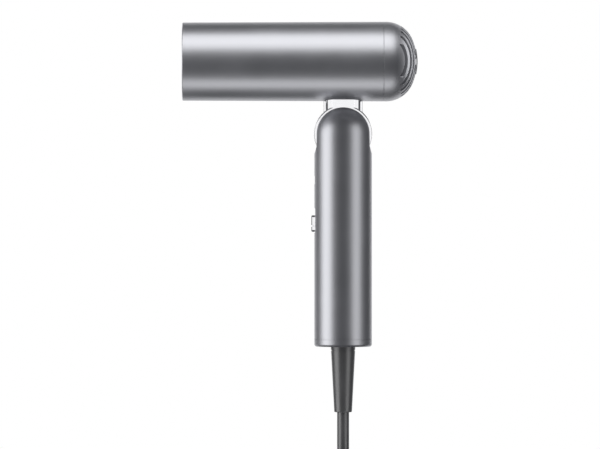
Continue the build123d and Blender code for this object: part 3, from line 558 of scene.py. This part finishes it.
def chip_package():
    base = (0.022, 0.022, 0.024)
    return moulded_plastic("chip_package", base, pebbles=5200, depth=0.008, low=0.45, high=0.6)


def woven_mesh():
    """Woven steel wire: a square mesh, open between its wires."""
    finish = Finish("woven_mesh", Metallic=1.0)
    _, y, z = finish.axes(finish.places())
    pitch = 0.55 * MM
    warp, weft = (y * pi / pitch).sine() ** 2.0, (z * pi / pitch).sine() ** 2.0
    wire = warp.larger(weft)
    wire_edge = 0.62
    finish.feed(finish.shader.inputs["Alpha"], wire > wire_edge)
    # Each wire is paler along its crown and darker towards its sides: a painted highlight and painted shade
    # across its round section.
    finish.colour(finish.blend(wire, (0.16, 0.16, 0.17), (0.46, 0.46, 0.47)))
    finish.rough(finish.span(wire, 0.6, 1.0, 0.5, 0.3))
    return finish.relief(wire, 0.08 * MM, 0.7)


FINISHES = {
    "shell": satin_metal,
    "cap": satin_cap,
    "chrome": polished_chrome,
    "button": satin_button,
    "lens": milky_lens,
    "dark_plastic": moulded_plastic,
    "brass": turned_brass,
    "mesh_steel": woven_mesh,
    "magnet": nickelled_magnet,
    "steel": turned_steel,
    "mica": mica_sheet,
    "nichrome": heated_wire,
    "rubber": damping_rubber,
    "motor_alloy": machined_alloy,
    "stator_steel": laminated_steel,
    "circuit_board": circuit_board,
    "bush_plastic": acetal,
    "wire": wire_sleeve,
    "die_cast": die_cast,
    "capacitor": capacitor_sleeve,
    "ferrite": ferrite_core,
    "ic": chip_package,
    "cord_sheath": soft_rubber,
    "tie": hook_and_loop,
    "plug_moulding": plug_moulding,
    "nickel": bright_nickel,
}


@cache
def finish_for(slot):
    """The finish of a material slot, made once and shared by the pieces that have it."""
    return FINISHES[slot]().material


# ---- Meshes -------------------------------------------------------------------------------------------


def ring_faces(rings, count):
    """Corner numbers of the quads that join neighbouring rings of points, with count points to a ring."""
    ring, point = np.meshgrid(np.arange(rings - 1), np.arange(count), indexing="ij")
    here, following = ring * count + point, ring * count + (point + 1) % count
    return np.stack([here, following, following + count, here + count], -1).reshape(-1, 4)


def surface(name, points, slot, body, along=None):
    """A smooth mesh from rings of points, closed at both ends by fans, that rides on a body."""
    rings, count = points.shape[:2]
    ends = np.stack([points[0].mean(0), points[-1].mean(0)])
    vertices = np.vstack([points.reshape(-1, 3), ends])
    first_middle, last_middle = np.full(count, rings * count), np.full(count, rings * count + 1)
    here = np.arange(count)
    following = (here + 1) % count
    last_ring = (rings - 1) * count
    faces = ring_faces(rings, count).tolist()
    faces += np.stack([first_middle, following, here], 1).tolist()
    faces += np.stack([last_middle, last_ring + here, last_ring + following], 1).tolist()
    mesh = bpy.data.meshes.new(name)
    mesh.from_pydata(vertices.tolist(), [], faces)
    if along is not None:
        write_surface_map(mesh, along)
    mesh.shade_smooth()
    mesh.materials.append(finish_for(slot))
    piece = add_object(name, mesh)
    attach(piece, body)
    return piece


def write_surface_map(mesh, along):
    """Writes distances over the surface, one pair for each vertex, as the mesh's own map.

    The middles of the two end fans, which come last, are given no distance.
    """
    pairs = np.vstack([along.reshape(-1, 2), np.zeros((2, 2))])
    corners = np.empty(len(mesh.loops), np.int32)
    mesh.loops.foreach_get("vertex_index", corners)
    layer = mesh.uv_layers.new(name="surface")
    layer.data.foreach_set("uv", pairs[corners].ravel().astype(np.float32))


# ---- Mains cord and its hank --------------------------------------------------------------------------

LOOP_POINTS = 8
# Degrees round an end loop between which its strand moves over, and a span that comes before any loop.
GROWING, SHRINKING, CROSSING, UNMOVED = (100, 240), (-10, 130), (95, 210), (-400, -300)


def eased(share):
    """A share from 0 to 1 that starts and ends gently: 3 s^2 - 2 s^3."""
    share = np.clip(share, 0.0, 1.0)
    return share * share * (3.0 - 2.0 * share)


def leaning(radius, waist_x, rise):
    """How far past half a circle a loop turns before its strand runs straight to the waist, in degrees."""
    return degrees(asin(radius / hypot(rise, waist_x)) - atan2(waist_x, rise))


def end_loop(side, half_run, waist, strands, rows, row_span, growth):
    """Control points of one end loop, from the waist, round the loop and back to the waist.

    The points lie at equal angles a on a circle outside the loop, (r cos a, half run + r sin a), and are
    mirrored through the hank's middle for the lower loop. strands holds each side's radius and its place at
    the waist. The strand goes from the first row to the second over row_span, and from the first side's
    radius to the second's over growth, both in degrees.
    """
    (radius_in, x_in), (radius_out, x_out) = strands
    rise = half_run - waist
    lean_in, lean_out = leaning(radius_in, x_in, rise), leaning(radius_out, x_out, rise)
    step = (180.0 + lean_in + lean_out) / LOOP_POINTS
    angles = (np.arange(LOOP_POINTS) + 0.5) * step - lean_in
    half_step = radians(step / 2)
    share = eased((angles - growth[0]) / (growth[1] - growth[0]))
    reach = (radius_in + (radius_out - radius_in) * share) / cos(half_step)
    across = rows[0] + (rows[1] - rows[0]) * eased((angles - row_span[0]) / (row_span[1] - row_span[0]))
    turn = np.radians(angles)
    ring = np.stack([side * reach * np.cos(turn), across, side * (half_run + reach * np.sin(turn))], 1)
    start = np.array([side * x_in, rows[0], side * waist])
    end = np.array([-side * x_out, rows[1], side * waist])
    first = stepped(ring[0], start, 2 * radius_in * tan(half_step))
    last = stepped(ring[-1], end, 2 * radius_out * tan(half_step))
    return np.vstack([start, first, ring, last, end])


def stepped(point, goal, distance):
    """The place this far from a point towards a goal."""
    way = goal - point
    return point + way * (distance / np.linalg.norm(way))


def hank_route(sizes):
    """The cord's control points: from the strain relief, through the hank's folds and down to the plug."""
    radius = sizes.diameter / 2
    inner, outer = sizes.inner_loop, sizes.inner_loop + sizes.diameter
    near = (inner, radius)
    far = (outer, 3 * radius)
    front, back = -sizes.diameter, sizes.diameter
    half, waist = sizes.half_run, sizes.waist
    loops = [
        end_loop(-1, half, waist, (near, near), (front, front), UNMOVED, UNMOVED),
        end_loop(1, half, waist, (near, far), (front, front), UNMOVED, GROWING),
        end_loop(-1, half, waist, (far, far), (front, front), UNMOVED, UNMOVED),
        end_loop(1, half, waist, (far, far), (front, back), CROSSING, UNMOVED),
        end_loop(-1, half, waist, (far, far), (back, back), UNMOVED, UNMOVED),
        end_loop(1, half, waist, (far, near), (back, back), UNMOVED, SHRINKING),
    ]
    middle = middle_of("cord_hank").z
    exit_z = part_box("strain_relief")[0].z - middle
    plug_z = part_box("plug_body")[1].z - middle
    top = half + outer + radius
    clear, leave, meet = top - 25 * MM, 45 * MM, 6 * MM
    lead = [(0, 0, z) for z in (exit_z, (exit_z + top) / 2, top, clear, leave)] + [(-radius, front, meet)]
    tail = [(-radius, back, -meet)] + [(0, 0, z) for z in (-leave, -clear, -top, plug_z)]
    route = np.vstack([lead, *loops, tail])
    return route + (0.0, 0.0, middle)


class DRYER_OT_mains_cord(bpy.types.Operator):
    """Lays the mains cord from the strain relief through its tied hank to the plug"""

    bl_idname = "dryer.mains_cord"
    bl_label = "Mains cord"

    def execute(self, context):
        sizes = context.scene.dryer_cord
        route = hank_route(sizes)
        curve = bpy.data.curves.new("mains_cord", "CURVE")
        curve.dimensions = "3D"
        curve.bevel_depth = sizes.diameter / 2
        curve.bevel_resolution = 7
        curve.resolution_u = 10
        curve.use_fill_caps = True
        spline = curve.splines.new("NURBS")
        spline.points.add(len(route) - 1)
        weights = np.ones((len(route), 1))
        spline.points.foreach_set("co", np.hstack([route, weights]).ravel())
        spline.order_u = 3
        spline.use_endpoint_u = True
        curve.materials.append(finish_for("cord_sheath"))
        cord = add_object("mains_cord", curve)
        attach(cord, "handle")
        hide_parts("cord", "cord_hank", "plug_lead")
        return {"FINISHED"}


STRAP_TURNS = 1.32
STRAP_POINTS = 260
# The strap's section: points round it, and the power of its rounded bar.
STRAP_SECTION_POINTS, STRAP_SECTION_POWER = 28, 0.35
# Share of the first turn over which the strap climbs onto its own start, and how far out, in thicknesses.
STRAP_CLIMB, STRAP_LAP = 0.07, 1.02
# The free tail: the length that narrows, and the share of the width that it keeps.
TAIL_LENGTH, TAIL_WIDTH = 4 * MM, 0.7003


def strap_wrap(half_x, half_y, corner, growth):
    """Middle line of a strap round a rounded rectangle, with its outward direction and its distance along.

    The line goes round by equal shares of the outline: straight sides joined by quarter circles. It moves
    out by the growth at the end of its first turn, because from there the strap lies on its own start.
    """
    straight_x, straight_y, arc = 2 * (half_x - corner), 2 * (half_y - corner), corner * pi / 2
    sides = np.array([straight_x, arc, straight_y, arc] * 2)
    ends = np.concatenate([[0.0], np.cumsum(sides)])
    outline = ends[-1]
    distance = np.linspace(0.0, STRAP_TURNS * outline, STRAP_POINTS)
    around = (distance + straight_x / 2) % outline
    part = np.clip(np.searchsorted(ends, around, side="right") - 1, 0, len(sides) - 1)
    share = (around - ends[part]) / sides[part]
    turned = part % 2 == 1
    heading = (part // 2 + np.where(turned, share, 0.0)) * pi / 2
    starts_x = np.array([-1, 1, 1, 1, 1, -1, -1, -1]) * (half_x - corner)
    starts_y = np.array([-1, -1, -1, 1, 1, 1, 1, -1]) * (half_y - corner)
    outward = np.stack([np.sin(heading), -np.cos(heading)], 1)
    forward = np.stack([np.cos(heading), np.sin(heading)], 1)
    run = np.where(turned, 0.0, share * sides[part])[:, None]
    centre = np.stack([starts_x[part], starts_y[part]], 1)
    line = centre + forward * run + outward * corner
    climb = STRAP_CLIMB * outline
    over = eased((distance - (outline - climb)) / climb)[:, None]
    return line + outward * growth * over, outward, distance


class DRYER_OT_cord_tie(bpy.types.Operator):
    """Wraps a hook-and-loop strap round the hank's waist, with its tail lapped over"""

    bl_idname = "dryer.cord_tie"
    bl_label = "Cord tie"

    def execute(self, context):
        sizes = context.scene.dryer_cord
        thick, width = sizes.strap_thickness, size_of("cord_tie").z
        # The strap goes round two cords each way from the middle, and round the hank's whole depth.
        half_x, half_y = 2 * sizes.diameter + thick / 2, size_of("cord_hank").y / 2 + thick / 2
        line, outward, distance = strap_wrap(half_x, half_y, sizes.diameter / 2, thick * STRAP_LAP)
        # Its section is a rounded bar: (thickness / 2 |cos a|^p outward, width / 2 |sin a|^p along Z).
        angle = np.linspace(2 * pi, 0.0, STRAP_SECTION_POINTS, endpoint=False)
        up = np.sign(np.sin(angle)) * np.abs(np.sin(angle)) ** STRAP_SECTION_POWER * (width / 2)
        out = np.sign(np.cos(angle)) * np.abs(np.cos(angle)) ** STRAP_SECTION_POWER * (thick / 2)
        # Its tail narrows by the square root of the distance that is left.
        taper = np.sqrt(np.clip((distance[-1] - distance) / TAIL_LENGTH, 0.0, 1.0))
        points = np.empty((len(distance), len(angle), 3))
        points[..., :2] = line[:, None, :] + outward[:, None, :] * out[None, :, None]
        points[..., 2] = up[None, :] * (TAIL_WIDTH + (1.0 - TAIL_WIDTH) * taper[:, None])
        points += np.array(middle_of("cord_tie"))
        along = np.stack(np.broadcast_arrays(distance[:, None], up[None, :]), -1)
        strap = surface("cord_tie_strap", points, "tie", "handle", along=along)
        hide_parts("cord_tie")
        return {"FINISHED"}


# ---- Heater windings ----------------------------------------------------------------------------------

WINDING_POINTS_A_TURN, WIRE_SECTION_POINTS = 48, 8
# How far the wire dips between the boards, as a share of the coil's radius.
WINDING_DIP = 0.06


class DRYER_OT_heater_windings(bpy.types.Operator):
    """Winds the resistance wire round the heater's boards as one long coil"""

    bl_idname = "dryer.heater_windings"
    bl_label = "Heater windings"

    def execute(self, context):
        sizes = context.scene.dryer_fine
        wire_radius = sizes.winding_wire / 2
        low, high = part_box("heater_coils")
        centre = middle_of("heater_coils")
        radius = (high.z - low.z) / 2 - wire_radius
        start, end = low.x + wire_radius, high.x - wire_radius
        turns = round((end - start) / sizes.winding_pitch)
        # The middle line is (x, R cos t, R sin t), with R less by a dip times sin^2 2t between the boards.
        turn = np.linspace(0.0, 2 * pi * turns, turns * WINDING_POINTS_A_TURN)
        reach = radius * (1.0 - WINDING_DIP * np.sin(2 * turn) ** 2)
        x = start + (end - start) * turn / turn[-1]
        # The section is a circle about it: (r sin a along X, r cos a outward).
        angle = np.linspace(2 * pi, 0.0, WIRE_SECTION_POINTS, endpoint=False)
        out, side = np.cos(angle) * wire_radius, np.sin(angle) * wire_radius
        outward = reach[:, None] + out[None, :]
        points = np.empty((len(turn), len(angle), 3))
        points[..., 0] = x[:, None] + side[None, :]
        points[..., 1] = centre.y + outward * np.cos(turn)[:, None]
        points[..., 2] = centre.z + outward * np.sin(turn)[:, None]
        winding = surface("heater_winding", points, "nichrome", "head")
        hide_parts("heater_coils")
        return {"FINISHED"}


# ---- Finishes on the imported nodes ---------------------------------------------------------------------


class DRYER_OT_finishes(bpy.types.Operator):
    """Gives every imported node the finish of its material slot"""

    bl_idname = "dryer.finishes"
    bl_label = "Finishes"

    def execute(self, context):
        for part in frame["record"]["subparts"]:
            node = frame["nodes"][part["node"]]
            node.data.materials.clear()
            node.data.materials.append(finish_for(part["material_slot"]))
        return {"FINISHED"}


# ---- Stage --------------------------------------------------------------------------------------------

# Nodes that the bright cards light on their own, and the soft boxes leave out.
BRIGHT_NODES = ("knuckle", "power_slider", "centre_cap")
# The bodies whose nodes make up the head, and the nodes of the upright handle.
HEAD_BODIES = ("head", "rear_cover", "rotor")
UPRIGHT_NODES = ("handle_shell", "bottom_cap")

FLOOR_SUN_STRENGTH, FLOOR_SUN_ANGLE = 3.4, radians(50)
# The surround that reflections see: its colour and strength.
DIM_COLOUR, DIM_STRENGTH = (0.92, 0.94, 1.0, 1.0), 0.092
# The floor's inner and outer radius, its rings and the points round each.
FLOOR_INNER, FLOOR_OUTER, FLOOR_RINGS, FLOOR_POINTS = 0.02, 2.2, 12, 96
BRIGHT_CARD_AZIMUTHS = (0, 50, -50, 130, -130)
SENSOR_WIDTH = 36.0


def falls_on(light, pieces, state="INCLUDE"):
    """Lets a light fall on these pieces alone, or, with the state EXCLUDE, on all but them."""
    group = bpy.data.collections.new(light.name)
    for piece in pieces:
        group.objects.link(piece)
    for entry in group.collection_objects:
        entry.light_linking.link_state = state
    light.light_linking.receiver_collection = group


def soft_light(name, azimuth, elevation, distance, width, height, power, only=(), spared=()):
    """A soft box that faces the frame's origin. Azimuth 0 is the camera's side, and it grows towards +X.

    It lights the nodes in only and nothing else, or else all but the floor, the bright nodes and the spared.
    """
    data = bpy.data.lights.new(name, "AREA")
    data.shape = "RECTANGLE"
    data.size, data.size_y = width, height
    data.energy = power * bpy.context.scene.dryer_studio.key
    light = add_object(name, data)
    turn, rise = radians(azimuth), radians(elevation)
    way = Vector((np.sin(turn) * np.cos(rise), -np.cos(turn) * np.cos(rise), np.sin(rise)))
    light.location = way * distance
    light.rotation_euler = way.to_track_quat("Z", "Y").to_euler()
    light.visible_camera = False
    if only:
        falls_on(light, [frame["nodes"][node] for node in only])
    else:
        nodes = [frame["nodes"][node] for node in (*BRIGHT_NODES, *spared)]
        falls_on(light, [*nodes, bpy.data.objects["floor"]], "EXCLUDE")


def floor_light():
    """An even, soft light from straight above, for the floor alone."""
    data = bpy.data.lights.new("floor_light", "SUN")
    data.energy, data.angle = FLOOR_SUN_STRENGTH, FLOOR_SUN_ANGLE
    falls_on(add_object("floor_light", data), [bpy.data.objects["floor"]])


def pale_world():
    """A white surround to the eye, and a dim one in reflections."""
    world = bpy.data.worlds.new("pale_surround")
    world.use_nodes = True
    tree = world.node_tree
    tree.nodes.clear()
    path = tree.nodes.new("ShaderNodeLightPath")
    seen, dim = tree.nodes.new("ShaderNodeBackground"), tree.nodes.new("ShaderNodeBackground")
    seen.inputs["Color"].default_value = (1, 1, 1, 1)
    dim.inputs["Color"].default_value = DIM_COLOUR
    dim.inputs["Strength"].default_value = DIM_STRENGTH
    mix, out = tree.nodes.new("ShaderNodeMixShader"), tree.nodes.new("ShaderNodeOutputWorld")
    tree.links.new(path.outputs["Is Camera Ray"], mix.inputs[0])
    tree.links.new(dim.outputs[0], mix.inputs[1])
    tree.links.new(seen.outputs[0], mix.inputs[2])
    tree.links.new(mix.outputs[0], out.inputs[0])
    bpy.context.scene.world = world


class DRYER_OT_stage(bpy.types.Operator):
    """Sets the pale floor, the soft lights and the camera"""

    bl_idname = "dryer.stage"
    bl_label = "Stage"

    def execute(self, context):
        studio = context.scene.dryer_studio
        self.lay_floor(studio)
        pale_world()
        floor_light()
        bodies = frame["record"]["behaviour"]["bodies"]
        in_head = [n for body in HEAD_BODIES for n in bodies[body] if n not in BRIGHT_NODES]
        # Each box's name, azimuth and elevation in degrees, distance, width and height in metres, and power.
        soft_light("left_strip", -71, 4, 1.3, 1.15, 1.5, 9.6)
        soft_light("right_strip", 54, 4, 1.3, 0.85, 1.5, 4.5, spared=in_head)
        soft_light("top_strip", 0, 62, 1.3, 1.6, 1.15, 10.5, spared=UPRIGHT_NODES)
        soft_light("low_strip", 0, -69, 1.3, 1.6, 0.72, 4.4, spared=UPRIGHT_NODES)
        soft_light("back_panel", 180, 0, 1.4, 2.5, 2.5, 16.5)
        soft_light("grille_card", 104, 12, 1.2, 0.7, 1.4, 4.5, only=("inlet_grille",))
        for azimuth in BRIGHT_CARD_AZIMUTHS:
            soft_light(f"bright_card_{azimuth}", azimuth, 0, 2.0, 1.9, 1.9, 10.5, only=BRIGHT_NODES)
        self.set_camera(context, studio)
        context.scene.view_settings.view_transform = "Standard"
        return {"FINISHED"}

    def lay_floor(self, studio):
        """A round floor: rings of points at equal steps of radius, r (cos t, sin t), round a middle face."""
        level = cad_box[0][2] - studio.floor_gap
        ring = np.linspace(0.0, 2 * pi, FLOOR_POINTS, endpoint=False)
        reach = np.linspace(FLOOR_INNER, FLOOR_OUTER, FLOOR_RINGS)[:, None]
        points = np.stack(np.broadcast_arrays(reach * np.cos(ring), reach * np.sin(ring), level), -1)
        mesh = bpy.data.meshes.new("floor")
        faces = ring_faces(FLOOR_RINGS, FLOOR_POINTS)[:, ::-1].tolist() + [list(range(FLOOR_POINTS))]
        mesh.from_pydata(points.reshape(-1, 3).tolist(), [], faces)
        floor = add_object("floor", mesh)
        paint = Finish("pale_floor", Roughness=0.9)
        speckle = paint.noise(paint.places(), 30, 4.0)
        pale, paler = (0.80, 0.80, 0.80), (0.84, 0.84, 0.84)
        paint.colour(paint.blend(paint.span(speckle, 0.3, 0.7), pale, paler))
        mesh.materials.append(paint.material)
        floor.visible_glossy = False
        floor.visible_shadow = False

    def set_camera(self, context, studio):
        """A level camera that looks along +Y, with the view's width at the object."""
        camera = bpy.data.cameras.new("camera")
        camera.sensor_width = SENSOR_WIDTH
        camera.lens = SENSOR_WIDTH * studio.distance / studio.view_width
        camera.clip_start, camera.clip_end = 0.01, 50.0
        eye = add_object("camera", camera)
        eye.location = (studio.aim_x, -studio.distance, studio.aim_z)
        eye.rotation_euler = (pi / 2, 0.0, 0.0)
        context.scene.camera = eye


# ---- Panel and registration ---------------------------------------------------------------------------


class DRYER_PT_pieces(bpy.types.Panel):
    """Sizes, colours and the operators that make each piece"""

    bl_idname = "DRYER_PT_pieces"
    bl_label = "Hair dryer"
    bl_space_type = "VIEW_3D"
    bl_region_type = "UI"
    bl_category = "Hair dryer"

    def draw(self, context):
        for group in ("dryer_cord", "dryer_fine", "dryer_colours", "dryer_studio"):
            settings = getattr(context.scene, group)
            box = self.layout.box()
            for name in settings.bl_rna.properties.keys():
                if name not in ("rna_type", "name"):
                    box.prop(settings, name)
        for operator in OPERATORS:
            self.layout.operator(operator.bl_idname)


GROUPS = {
    "dryer_cord": CordSizes,
    "dryer_fine": FinePieceSizes,
    "dryer_colours": FinishColours,
    "dryer_studio": StudioSettings,
}
OPERATORS = (
    DRYER_OT_finishes,
    DRYER_OT_cord_tie,
    DRYER_OT_mains_cord,
    DRYER_OT_heater_windings,
    DRYER_OT_stage,
)
CLASSES = (*GROUPS.values(), *OPERATORS, DRYER_PT_pieces)


def register():
    for cls in CLASSES:
        bpy.utils.register_class(cls)
    for name, group in GROUPS.items():
        setattr(bpy.types.Scene, name, bpy.props.PointerProperty(type=group))


def unregister():
    for name in GROUPS:
        delattr(bpy.types.Scene, name)
    for cls in reversed(CLASSES):
        bpy.utils.unregister_class(cls)


def main():
    register()
    bpy.ops.dryer.finishes()
    bpy.ops.dryer.cord_tie()
    bpy.ops.dryer.mains_cord()
    bpy.ops.dryer.heater_windings()
    bpy.ops.dryer.stage()


if __name__ == "__main__":
    main()
